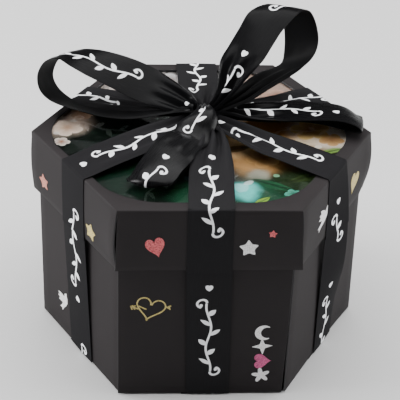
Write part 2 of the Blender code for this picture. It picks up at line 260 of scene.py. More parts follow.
def makeScrollPrint():
    # a running vine with slanted leaves, a curl at either end of each run and a small heart, along the ribbon
    p = ribbonPrint
    group, given, wanted = newGroup("scroll_print", [("Shift", 0.0), ("Way", 1.0)], ["Mask", "Threads"])

    def ribbonMap(name):
        node = group.nodes.new("ShaderNodeUVMap")
        node.uv_map = name
        return node.outputs[0]

    cloth = ribbonMap("ribbon")
    u, v = parted(cloth)[:2]
    across = times(minus(u, 0.5), ribbonWidth)
    x = modulo(plus(times(times(v, ribbonWidth), given["Way"]), given["Shift"]), p["repeat"])
    off = minus(across, times(sine(times(x, 2 * math.pi / p["wave"])), p["sway"]))
    begin, end = p["curlAt"][0], p["stop"] - p["curlAt"][0]
    vine = times(less(positive(off), p["stroke"]), between(x, begin, end))

    count = over(minus(x, p["leaves"][0]), p["leafStep"])
    way = minus(times(modulo(floor(count), 2.0), 2.0), 1.0)  # to the left and to the right in turn
    step = minus(times(fraction(count), p["leafStep"]), p["leafAt"][0])
    outward = minus(times(off, way), p["leafAt"][1])
    c, s = math.cos(p["leafTurn"]), math.sin(p["leafTurn"])
    leafX = over(plus(times(step, c), times(outward, s)), p["leaf"][0])
    leafY = over(minus(times(outward, c), times(step, s)), p["leaf"][1])
    leaf = less(plus(times(leafX, leafX), positive(leafY)), 1.0)
    scroll = larger(vine, times(leaf, between(x, *p["leaves"])))
    for place, turn in ((begin, 1.0), (end, -1.0)):
        dx = times(minus(x, place), turn)
        dy = minus(times(off, turn), p["curlAt"][1])
        ring = less(positive(minus(distance(dx, dy), p["curl"])), p["curlStroke"])
        ring = times(ring, less(minus(dx, dy), p["curlOpen"]))
        berry = less(distance(minus(dx, p["berryAt"][0]), minus(dy, p["berryAt"][1])), p["berry"])
        scroll = larger(scroll, larger(ring, berry))

    heartX, heartY = over(across, p["heart"]), over(minus(x, p["heartAt"]), p["heart"])
    square = times(heartX, heartX)
    inner = minus(plus(square, times(heartY, heartY)), 1.0)
    lobes = times(square, times(heartY, times(heartY, heartY)))
    heart = less(minus(times(inner, times(inner, inner)), lobes), 0.0)
    shown = softStep(parted(ribbonMap("gather"))[0], *p["gathered"])
    link(times(larger(scroll, heart), shown), wanted["Mask"])
    link(noise(mapped(cloth, "Scale", p["threads"]), 1.0, 3), wanted["Threads"])
    return group


satins = {  # darkest and lightest thread, roughness and IOR
    # bow: the same satin as the straps in a darker tone, painted shade on the loops
    "bow": ((0.0022, 0.0022, 0.0025), (0.0056, 0.0055, 0.0062), 0.27, 1.14),
    # strap: the same satin in a lighter tone, painted light on the straps
    "strap": ((0.010, 0.0098, 0.0106), (0.0195, 0.019, 0.0204), 0.42, 1.09),
    "back": ((0.003, 0.003, 0.0032), (0.007, 0.007, 0.0075), 0.6, 1.14),
    "ink": (0.95, 0.96, 0.98),  # the print
}


def makeSatin(name, kind, printed=None, gloss=None):
    # printed: the way the print runs along the ribbon, and how far it is shifted
    dark, light, roughness, plainGloss = satins[kind]
    finish, tree, shader = newFinish(name, light, roughness, IOR=gloss or plainGloss)
    way, shift = printed or (1, 0.0)
    satin = useGroup(tree, scrollPrint, Way=way, Shift=shift)
    cloth, height = mixed(satin["Threads"], dark, light), satin["Threads"]
    rough = plus(times(satin["Threads"], 0.2), roughness - 0.1)
    if printed:
        cloth = mixed(satin["Mask"], cloth, satins["ink"])
        rough = plus(rough, times(satin["Mask"], 0.15))
        height = plus(times(height, 0.5), times(satin["Mask"], 0.5))
    link(cloth, shader["Base Color"])
    link(rough, shader["Roughness"])
    bump(shader, height, 0.00005)
    return finish


def makeGlitterFlakes():
    group, given, wanted = newGroup("glitter_flakes", [("Flakes", 2600.0)], ["Shade", "Height"])
    cells = group.nodes.new("ShaderNodeTexVoronoi")
    link(objectPlace(group), cells.inputs["Vector"])
    link(given["Flakes"], cells.inputs["Scale"])
    parts = group.nodes.new("ShaderNodeSeparateColor")
    link(cells.outputs["Color"], parts.inputs[0])
    link(parts.outputs[0], wanted["Shade"])
    link(parts.outputs[1], wanted["Height"])
    return group


glitterTones = {  # dullest and brightest flake
    "red_glitter": ((0.35, 0.02, 0.03), (0.85, 0.16, 0.17)), "silver_glitter": ((0.62, 0.63, 0.62), (1.0, 1.0, 0.99)),
    "white_glitter": ((0.7, 0.69, 0.7), (1.0, 0.99, 0.99)), "pink_glitter": ((0.36, 0.03, 0.13), (0.68, 0.11, 0.29)),
    "gold_foil": ((0.38, 0.29, 0.075), (0.66, 0.54, 0.18)), "rose_foil": ((0.36, 0.105, 0.065), (0.68, 0.26, 0.19)),
}


def makeGlitter(name, dark, light):
    finish, tree, shader = newFinish(name, light, 0.35)
    sparkle = useGroup(tree, glitterFlakes, Flakes=2600.0)
    link(mixed(sparkle["Shade"], dark, light), shader["Base Color"])
    link(plus(times(sparkle["Shade"], 0.3), 0.25), shader["Roughness"])
    bump(shader, sparkle["Height"], 0.0001)
    return finish


paperGrain = makePaperGrain()
scrollPrint = makeScrollPrint()
glitterFlakes = makeGlitterFlakes()
blackCard = makeCard("black_card", (0.0150, 0.0130, 0.0135), (0.0250, 0.0218, 0.0229), 0.6, Specular_IOR_Level=0.09)
# the cut edges: the card's lighter raw core, brightened further as a painted highlight along the edges
cutEdgeAndHighlight = makeCard("card_cut_edge_and_highlight", (0.026, 0.025, 0.026), (0.06, 0.057, 0.06), 0.8)
satinBack = makeSatin("satin_back", "back")
glitters = {name: makeGlitter(name, *tones) for name, tones in glitterTones.items()}
print("finishes made")

# the printed card under the window


def newMotif(name):
    # a printed shape's group, and the place measured from its middle in its own size
    inputs = [("U", 0.0), ("V", 0.0), ("X", 0.0), ("Y", 0.0), ("Size", 1.0), ("Turn", 0.0), ("Wave", 0.3)]
    group, given, wanted = newGroup("printed_" + name, inputs, ["Mask", "Shade"])
    dx, dy = (over(minus(given[place], given[middle]), given["Size"]) for place, middle in ("UX", "VY"))
    return group, given["Turn"], given["Wave"], wanted, dx, dy


def makeBlossom():
    # five petals, or a round light where there is no wave
    group, turn, wave, wanted, dx, dy = newMotif("blossom")
    reach = distance(dx, dy)
    petal = maths("POWER", positive(cosine(times(plus(maths("ARCTAN2", dy, dx), turn), 2.5))), 0.6)
    edge = plus(minus(1.0, wave), times(petal, wave))
    link(softStep(minus(edge, reach), -0.03, 0.05), wanted["Mask"])
    link(over(reach, edge), wanted["Shade"])
    return group


def makeLeaf():
    # a pointed leaf with a mid-rib
    group, turn, wave, wanted, dx, dy = newMotif("leaf")
    c, s = cosine(turn), sine(turn)
    along = plus(times(dx, c), times(dy, s))
    aside = positive(minus(times(dy, c), times(dx, s)))
    edge = times(minus(1.0, times(along, along)), wave)
    link(softStep(minus(edge, aside), -0.01, 0.03), wanted["Mask"])
    link(softStep(aside, 0.0, 0.12), wanted["Shade"])
    return group


motifNodes = {"blossom": makeBlossom(), "leaf": makeLeaf()}


def printPlace(tree, wobble, scale):
    # millimetres on the sheet, with a painter's unsteady hand
    where = objectPlace(tree)
    flat = []
    for number, axis in enumerate("XY"):
        sway = minus(noise(mapped(where, "Location", (3.1 * number, 1.7, 0.4)), scale, 2), 0.5)
        flat.append(plus(times(parted(where)[axis], 1000.0), times(sway, wobble)))
    return flat


def paintWash(picture, u, v, x, y, reach, colour):
    away = distance(minus(u, x), minus(v, y))
    return mixed(softStep(times(away, -1.0), -reach, -reach * 0.35), picture, colour)


def paintMotif(picture, u, v, kind, x, y, size, turn, wave, inner, outer, strength=1.0):
    motif = useGroup(picture.id_data, motifNodes[kind], U=u, V=v, X=x, Y=y, Size=size, Turn=turn, Wave=wave)
    return mixed(times(motif["Mask"], strength), picture, mixed(motif["Shade"], inner, outer))


cardPicture = {
    "ground": ((0.001, 0.0035, 0.0025), (0.003, 0.011, 0.006)),
    "washes": (  # x, y, reach, colour
        (-30, 58, 40, (0.48, 0.41, 0.37)), (40, 48, 34, (0.55, 0.38, 0.31)), (-6, 66, 26, (0.34, 0.31, 0.31)),
        # the amber wash at (34, -6) is the print's amber, made brighter against the right loop's shadow: partly painted
        # light
        (34, -6, 40, (0.45, 0.2, 0.03)),
        # the cream wash at (16, -14) is painted light that lifts the shadow of the bow and its straps on the picture
        (24, -30, 20, (0.5, 0.27, 0.10)), (16, -14, 15, (0.95, 0.62, 0.32)), (26, -43, 9, (0.4, 0.38, 0.3)),
        # the wash at (62, 2) is painted light that lifts the right loop's shadow on the picture
        (62, 2, 22, (0.95, 0.78, 0.6)), (70, -5, 15, (0.9, 0.78, 0.68)), (-76, 14, 22, (0.8, 0.62, 0.5)),
        (8, -62, 30, (0.003, 0.028, 0.012)), (30, -62, 22, (0.006, 0.07, 0.03)), (18, -57, 11, (0.12, 0.8, 0.72)),
        (45, -50, 17, (0.014, 0.03, 0.008)), (-38, -46, 24, (0.002, 0.02, 0.010)), (-8, -62, 16, (0.006, 0.07, 0.03)),
    ),
    "leaves": (  # x, y, size, turn, width, dark rib, green
        (-52, -14, 15, 0.5, 0.24, (0.002, 0.008, 0.004), (0.002, 0.015, 0.008)),
        (-36, -34, 14, -0.7, 0.26, (0.002, 0.008, 0.004), (0.003, 0.022, 0.01)),
        (-22, -56, 13, 0.25, 0.24, (0.003, 0.01, 0.005), (0.006, 0.04, 0.014)),
        (2, -62, 13, 0.9, 0.26, (0.002, 0.012, 0.006), (0.005, 0.06, 0.02)),
        (34, -52, 13, -0.5, 0.26, (0.003, 0.03, 0.012), (0.012, 0.1, 0.04)),
        (50, -44, 12, 0.5, 0.26, (0.012, 0.02, 0.005), (0.035, 0.06, 0.012)),
        (26, -66, 6, 0.7, 0.3, (0.1, 0.2, 0.02), (0.3, 0.5, 0.04)),
        (66, -18, 8, 0.4, 0.3, (0.04, 0.1, 0.01), (0.2, 0.38, 0.06)),
        (-70, 26, 9, 1.1, 0.3, (0.2, 0.1, 0.06), (0.5, 0.34, 0.26)),
        (18, 56, 12, 0.2, 0.28, (0.2, 0.16, 0.13), (0.42, 0.34, 0.3)),
        (16, -16, 13, 0.35, 0.22, (0.07, 0.025, 0.004), (0.26, 0.13, 0.03)),
        (44, -28, 12, -0.4, 0.22, (0.1, 0.045, 0.01), (0.34, 0.2, 0.07)),
    ),
    "blossoms": (  # x, y, size, turn, heart, petals
        (-72, 6, 9, 0.4, (0.5, 0.28, 0.16), (1.0, 0.84, 0.72)),
        (-64, 22, 7, 1.2, (0.3, 0.13, 0.06), (0.62, 0.42, 0.28)),
        (-74, -9, 4.5, 0.1, (0.4, 0.16, 0.08), (0.95, 0.86, 0.78)),
        # the blossom at (58, 4) is print, its petals lightened as painted light against the right loop's shadow
        (58, 4, 11, 0.8, (0.3, 0.11, 0.01), (0.9, 0.62, 0.22)),
        (68, -6, 7, 0.3, (0.34, 0.13, 0.02), (0.75, 0.42, 0.14)),
        (50, -12, 6, 1.0, (0.2, 0.07, 0.01), (0.95, 0.8, 0.55)),
        (30, -26, 9, 0.5, (0.22, 0.09, 0.02), (0.7, 0.42, 0.17)),
        (44, 42, 9, 0.9, (0.3, 0.1, 0.06), (0.75, 0.48, 0.36)),
        (30, 58, 6, 0.2, (0.4, 0.2, 0.15), (0.8, 0.66, 0.6)), (-40, 52, 10, 0.5, (0.3, 0.2, 0.17), (0.72, 0.64, 0.6)),
        (-14, 62, 8, 0.7, (0.36, 0.3, 0.28), (0.85, 0.83, 0.84)),
        (42, -60, 4.5, 0.7, (0.02, 0.16, 0.1), (0.1, 0.5, 0.36)),
    ),
    "lights": (  # x, y, size, colour
        (-24, -30, 3, (0.006, 0.03, 0.014)), (-56, -28, 2.4, (0.005, 0.026, 0.014)), (17, -54, 4.0, (0.55, 1.0, 1.0)),
        (21, -50, 2.4, (0.95, 1.0, 1.0)),
        (36, -42, 1.4, (0.3, 0.75, 0.45)), (-10, -44, 2.2, (0.05, 0.09, 0.12)), (-6, -52, 1.4, (0.2, 0.3, 0.36)),
        (60, -13, 2.0, (1.0, 0.97, 0.9)),
        (72, 4, 2.2, (0.98, 0.9, 0.75)), (40, -4, 2.6, (0.42, 0.2, 0.03)), (24, -2, 2.2, (0.3, 0.12, 0.01)),
        (-48, 40, 3, (0.85, 0.8, 0.78)),
        # the white round lights at (-77, 0) and (-69, 14) are painted glints of the crumpled film over the picture:
        # painted reflection
        (6, 56, 3, (0.6, 0.52, 0.48)), (48, -66, 2.2, (0.05, 0.3, 0.14)), (-77, 0, 1.8, (1.0, 0.96, 0.92)),
        (-69, 14, 1.6, (1.0, 0.95, 0.9)),
    ),
}


def makePicture():
    # a printed garden of leaves, blossoms and soft round lights, with painted light where the bow's shadows fall and
    # painted reflections of the film at the left corner
    finish, tree, shader = newFinish("picture_print", (0.2, 0.2, 0.15), 0.45, Specular_IOR_Level=0.12)
    broad = printPlace(tree, 9.0, 70.0)
    grain = useGroup(tree, paperGrain, Cloud=45.0)
    picture = mixed(grain["Tone"], *cardPicture["ground"])
    for wash in cardPicture["washes"]:
        picture = paintWash(picture, *broad, *wash)
    fine = printPlace(tree, 2.4, 130.0)
    for leaf in cardPicture["leaves"]:
        picture = paintMotif(picture, *fine, "leaf", *leaf, 0.85)
    for x, y, size, turn, heart, petals in cardPicture["blossoms"]:
        picture = paintMotif(picture, *fine, "blossom", x, y, size, turn, 0.34, heart, petals, 0.9)
    for x, y, size, colour in cardPicture["lights"]:
        picture = paintMotif(picture, *broad, "blossom", x, y, size, 0, 0.0, colour, colour, 0.6)
    link(picture, shader["Base Color"])
    bump(shader, grain["Height"], 0.00001)
    return finish


def makeFilm():
    # clear and slightly uneven
    finish, tree, shader = newFinish("window_film", (0.97, 0.98, 0.98), 0.04, Transmission_Weight=1.0, IOR=1.45)
    bump(shader, noise(objectPlace(tree), 22.0, 2), 0.0012, 0.35)
    return finish


def makePatternPaper(name, ground, ink, spacing, size, wave):
    # patterned mat paper: small blossoms or dots in staggered rows on a soft ground
    finish, tree, shader = newFinish(name, ground, 0.62, Specular_IOR_Level=0.3)
    grain = useGroup(tree, paperGrain)
    u, v = printPlace(tree, 0.3, 60.0)
    height = over(times(parted(objectPlace(tree))["Z"], 1000.0), spacing)
    along = plus(over(plus(u, times(v, 0.58)), spacing), times(floor(height), 0.5))
    cell = [minus(fraction(place), 0.5) for place in (along, height)]
    soft = mixed(grain["Tone"], tuple(0.8 * tone for tone in ground), ground)
    darkInk = tuple(0.7 * tone for tone in ink)
    link(paintMotif(soft, *cell, "blossom", 0, 0, size, 0.3, wave, darkInk, ink), shader["Base Color"])
    bump(shader, grain["Height"], 0.00002)
    return finish


def makeVelvet():
    finish, tree, shader = newFinish(
        "cushion_velvet", (0.02, 0.018, 0.02), 0.85, Specular_IOR_Level=0.15,
        Sheen_Weight=0.5, Sheen_Roughness=0.4, Sheen_Tint=(0.6, 0.58, 0.62, 1),
    )
    where = objectPlace(tree)
    pile, swept = noise(where, 2400.0, 4, 0.7), noise(where, 90.0, 3)
    tone = softStep(plus(times(pile, 0.5), times(swept, 0.5)), 0.35, 0.65)
    link(mixed(tone, (0.008, 0.007, 0.008), (0.034, 0.03, 0.034)), shader["Base Color"])
    bump(shader, pile, 0.00012)
    return finish


def dress(node, finish):
    # a CAD node that stays gets its finish in its own slot
    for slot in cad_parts[node].material_slots:
        slot.link = "OBJECT"
        slot.material = finish


matPapers = (  # ground, ink, spacing, size and wave of the small print
    makePatternPaper("mat_paper_rose", (0.62, 0.36, 0.32), (0.85, 0.8, 0.76), 7.5, 0.34, 0.36),
    makePatternPaper("mat_paper_cream", (0.74, 0.66, 0.53), (0.42, 0.26, 0.10), 6.0, 0.2, 0.0),
    makePatternPaper("mat_paper_sage", (0.22, 0.34, 0.24), (0.8, 0.78, 0.66), 8.0, 0.32, 0.42),
)
dress("picture_card", makePicture())
dress("window_film", makeFilm())
dress("gift_lid", makeCard("gift_box_card", (0.30, 0.014, 0.02), (0.42, 0.028, 0.035), 0.5, Specular_IOR_Level=0.35))
for node in ("lid_collar", "outer_base", "middle_base", "inner_base", "gift_tray"):
    dress(node, blackCard)
for number, side in enumerate(sides):
    dress("outer_photo_" + side, matPapers[number % 3])
    dress("middle_photo_" + side, matPapers[(number + 1) % 3])
    dress("middle_wall_" + side, blackCard)
    dress("inner_wall_" + side, blackCard)
print("picture, film and card finishes set")

# modelling helpers


def clearSelection():
    if bpy.context.object and bpy.context.object.mode != "OBJECT":
        bpy.ops.object.mode_set(mode="OBJECT")
    bpy.ops.object.select_all(action="DESELECT")


def activate(piece):
    clearSelection()
    piece.select_set(True)
    bpy.context.view_layer.objects.active = piece


def settle(piece):
    # the place goes into the mesh, so the object itself stays at the origin
    activate(piece)
    bpy.ops.object.transform_apply(location=True, rotation=True, scale=True)


def selectEdges(piece, test):
    # in edit mode: picks edges by where their middle lies
    bpy.ops.mesh.select_all(action="DESELECT")
    bpy.ops.mesh.select_mode(type="EDGE")
    mesh = bmesh.from_edit_mesh(piece.data)
    for edge in mesh.edges:
        edge.select = bool(test((edge.verts[0].co + edge.verts[1].co) / 2, edge))
    mesh.select_flush(True)
    bmesh.update_edit_mesh(piece.data)


def setAll(target, settings):
    for label, value in settings.items():
        setattr(target, label, value)


def addModifier(piece, name, kind, **settings):
    modifier = piece.modifiers.new(name, kind)
    setAll(modifier, settings)
    return modifier


def applyModifiers(piece):
    activate(piece)
    for modifier in list(piece.modifiers):
        bpy.ops.object.modifier_apply(modifier=modifier.name)


def smoothShade(piece, angle):
    activate(piece)
    bpy.ops.object.shade_smooth_by_angle(angle=math.radians(angle))


def coat(piece, *finishes):
    for finish in finishes:
        piece.data.materials.append(finish)


def finishPiece(piece, name, body, slot, *replaced):
    piece.name = name
    piece.data.name = name
    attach(piece, body)
    if replaced:
        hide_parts(*replaced)


def sidePoint(side, out, across, height):
    # a place from how far out it is on a side, how far to that side's right, and its height
    c, s = math.cos(math.radians(sides[side])), math.sin(math.radians(sides[side]))
    return Vector((out * c - across * s, out * s + across * c, height)) * mm


def smoothPath(rows, steps):
    # a smooth curve through every row
    ends = [rows[0] * 2 - rows[1], *rows, rows[-1] * 2 - rows[-2]]
    points = []
    for before, start, end, after in zip(ends, ends[1:], ends[2:], ends[3:]):
        for step in range(steps):
            t = step / steps
            points.append((
                start * 2 + (end - before) * t + (before * 2 - start * 5 + end * 4 - after) * t**2
                + (start * 3 - before - end * 3 + after) * t**3
            ) * 0.5)
    points.append(rows[-1].copy())
    return points


def share(value, start):
    # 0 up to start, and rising to 1
    return max(0, (value - start) / (1 - start))


# lid

lid = {
    "side": 90.0, "top": 117.0, "skirt": 35.0, "rows": 10, "card": 1.0, "fold": 0.8, "edge": 0.15,
    "window": 70.54, "rounding": 19.6, "arc": 12, "windowShift": -1.6, "widen": 1.028,
    "bulge": (0.25, 0.85, 1.6),  # a flap's stand in the middle, what its ends add, and how late they add it
    "seam": 0.35, "frontFlare": {-1: 4, 1: 7.5},  # half a seam, and how the front flap widens at its lower corners
}
top, lidOut = lid["top"], lid["side"] * math.cos(math.pi / 6)
skirtCorners = {  # a flap's side and end: where its bend starts, and how far it stands out on the way down
    ("front_left", 1): (0.5, lambda down: 1.2 * math.sin(math.pi * down**1.35)),
    ("front", -1): (0.6, lambda down: 0.7 * down**2),
    ("front_right", 1): (0.7, lambda down: 0.9 * math.sin(math.pi * down) - 1.5 * down**3),
    ("back_right", -1): (0.7, lambda down: 0.9 * math.sin(math.pi * down) - 1.5 * down**3),
}


def skirtBulge(side, along, down):
    # how far a skirt flap stands out, with along from -1 to 1 and down from 0 to 1
    low, high, late = lid["bulge"]
    stand = (low + high * abs(along) ** late) * math.sin(math.pi * min(1, max(0, down)))
    start, cornerStand = skirtCorners.get((side, math.copysign(1, along)), (None, None))
    if cornerStand and abs(along) > start:
        stand += share(abs(along), start) ** 2 * cornerStand(down)
    return stand


def sideOf(point):
    degrees = math.degrees(math.atan2(point.y, point.x)) % 360
    return min(sides, key=lambda name: abs((degrees - sides[name] + 180) % 360 - 180))


def addHexagon(radius):
    bpy.ops.mesh.primitive_circle_add(
        vertices=6, radius=radius * mm, location=(0, 0, top * mm), rotation=(0, 0, math.pi / 6)
    )


def shapeFlaps(mesh):
    # the window's rim moves to its place, and each flap bulges and parts from the next at its seams
    moves = {}
    for vertex in mesh.verts:
        down = (top * mm - vertex.co.z) / (lid["skirt"] * mm)
        if down < 0.001:
            if vertex.is_boundary and vertex.co.xy.length < 80 * mm:
                moves[vertex] = Vector((vertex.co.x * (lid["widen"] - 1) + lid["windowShift"] * mm, 0, 0))
            continue
        side = sideOf(sum((face.calc_center_median() for face in vertex.link_faces), Vector()))
        angle = math.radians(sides[side])
        outward, across = Vector((math.cos(angle), math.sin(angle), 0)), Vector((-math.sin(angle), math.cos(angle), 0))
        along = vertex.co.dot(across) / (lid["side"] / 2 * mm)
        end = math.copysign(1, along)
        pull = -end * lid["seam"] if abs(along) > 0.98 else 0
        if side == "front" and pull:
            pull *= 1 - lid["frontFlare"][end] * down
        moves[vertex] = outward * skirtBulge(side, along, down) * mm + across * pull * mm
    for vertex, move in moves.items():
        vertex.co += move


def makeLid():
    clearSelection()
    addHexagon(lid["window"] / math.cos(math.pi / 6))
    shell = bpy.context.object
    settle(shell)
    bpy.ops.object.mode_set(mode="EDIT")
    bpy.ops.mesh.select_all(action="SELECT")
    bpy.ops.mesh.bevel(offset=lid["rounding"] * mm, segments=lid["arc"], affect="VERTICES")
    bpy.ops.mesh.select_all(action="DESELECT")
    addHexagon(lid["side"])
    bpy.ops.mesh.subdivide(number_cuts=lid["arc"])
    bpy.ops.mesh.select_all(action="SELECT")
    bpy.ops.mesh.bridge_edge_loops()
    bpy.ops.mesh.normals_make_consistent(inside=False)

    def onRim(middle, edge):
        return edge.is_boundary and middle.xy.length > (lidOut - 0.01) * mm

    selectEdges(shell, onRim)
    for row in range(lid["rows"]):
        bpy.ops.mesh.extrude_edges_move(TRANSFORM_OT_translate={"value": (0, 0, -lid["skirt"] / lid["rows"] * mm)})
    bpy.ops.mesh.select_all(action="SELECT")
    bpy.ops.mesh.normals_make_consistent(inside=False)

    def atCorner(middle, edge):
        upright = abs(edge.verts[0].co.z - edge.verts[1].co.z) > 0.5 * mm
        return upright and middle.xy.length > (lid["side"] - 0.05) * mm

    selectEdges(shell, atCorner)
    bpy.ops.mesh.edge_split(type="EDGE")
    bpy.ops.object.mode_set(mode="OBJECT")
    mesh = bmesh.new()
    mesh.from_mesh(shell.data)
    shapeFlaps(mesh)
    mesh.to_mesh(shell.data)
    mesh.free()

    addModifier(
        shell, "fold", "BEVEL", width=lid["fold"] * mm, segments=3, limit_method="ANGLE", angle_limit=math.radians(60)
    )
    addModifier(
        shell, "card", "SOLIDIFY", thickness=lid["card"] * mm, offset=-1, use_even_offset=True, material_offset_rim=1
    )
    # the rims take the cut-edge finish: a lighter core and a painted highlight
    coat(shell, blackCard, cutEdgeAndHighlight)
    addModifier(
        shell, "edge", "BEVEL", width=lid["edge"] * mm, segments=2, limit_method="ANGLE", angle_limit=math.radians(50)
    )
    applyModifiers(shell)
    smoothShade(shell, 35)
    finishPiece(shell, "windowed_lid", "lid", "black_card", "lid_card")


makeLid()
print("lid made")

# ribbon bands

ribbonCloth = {
    "thick": 0.3, "folds": 2.5, "drift": 0.02,  # the pleats across a gathered ribbon, and how they drift along it
    "form": (0.6, 0.85),  # crown and depth of the pleats, where a row doesn't say
    "mesh": {"gathered": (5, 20), "stretched": (4, 18)},  # steps between two rows, and columns across
}


def mapRibbon(piece, printedAt, spreadAt):
    # one map for the print, and one for how far the ribbon is spread
    piece.data.uv_layers[0].name = "ribbon"
    piece.data.uv_layers.new(name="gather")
    for layer, placeOf in zip(piece.data.uv_layers, (printedAt, spreadAt)):
        for loop in piece.data.loops:
            layer.data[loop.index].uv = placeOf(loop.vertex_index)


def makeBand(name, rows, body, replaced, finish, flip, held):
    # each row: the ribbon's middle, the line across it, and its crown and pleats
    steps, columns = ribbonCloth["mesh"][held]
    centres, spans, forms = (smoothPath(list(part), steps) for part in zip(*rows))
    count = len(centres)
    clearSelection()
    bpy.ops.mesh.primitive_grid_add(x_subdivisions=columns, y_subdivisions=count - 1, size=1)
    band = bpy.context.object
    points, lengths = [], [0.0]
    for before, after in zip(centres, centres[1:]):
        lengths.append(lengths[-1] + (after - before).length)
    for row, (centre, span, form) in enumerate(zip(centres, spans, forms)):
        ahead, behind = centres[min(row + 1, count - 1)], centres[max(row - 1, 0)]
        normal = span.cross(ahead - behind).normalized()
        if flip:
            normal.negate()
        spare = math.sqrt(max(0, ribbonWidth**2 - span.length**2))
        depth = spare / (4 * ribbonCloth["folds"]) * form.y
        for column in range(columns + 1):
            u = column / columns
            if flip:
                u = 1 - u
            wave = math.sin(2 * math.pi * ribbonCloth["folds"] * u + ribbonCloth["drift"] * lengths[row]) * depth
            crown = form.x * (0.5 - (2 * u - 1) ** 2)
            points.append((centre + span * (u - 0.5) + normal * (wave + crown)) * mm)
    for vertex, point in zip(band.data.vertices, points):
        vertex.co = point

    def printedAt(index):
        row, column = divmod(index, columns + 1)
        u = column / columns
        return 1 - u if flip else u, lengths[row] / ribbonWidth

    def spreadAt(index):
        return spans[index // (columns + 1)].length / ribbonWidth, 0

    mapRibbon(band, printedAt, spreadAt)
    coat(band, finish, satinBack)
    addModifier(band, "satin", "SOLIDIFY", thickness=ribbonCloth["thick"] * mm, offset=0, material_offset=1)
    applyModifiers(band)
    smoothShade(band, 60)
    finishPiece(band, name, body, "satin_ribbon", replaced)


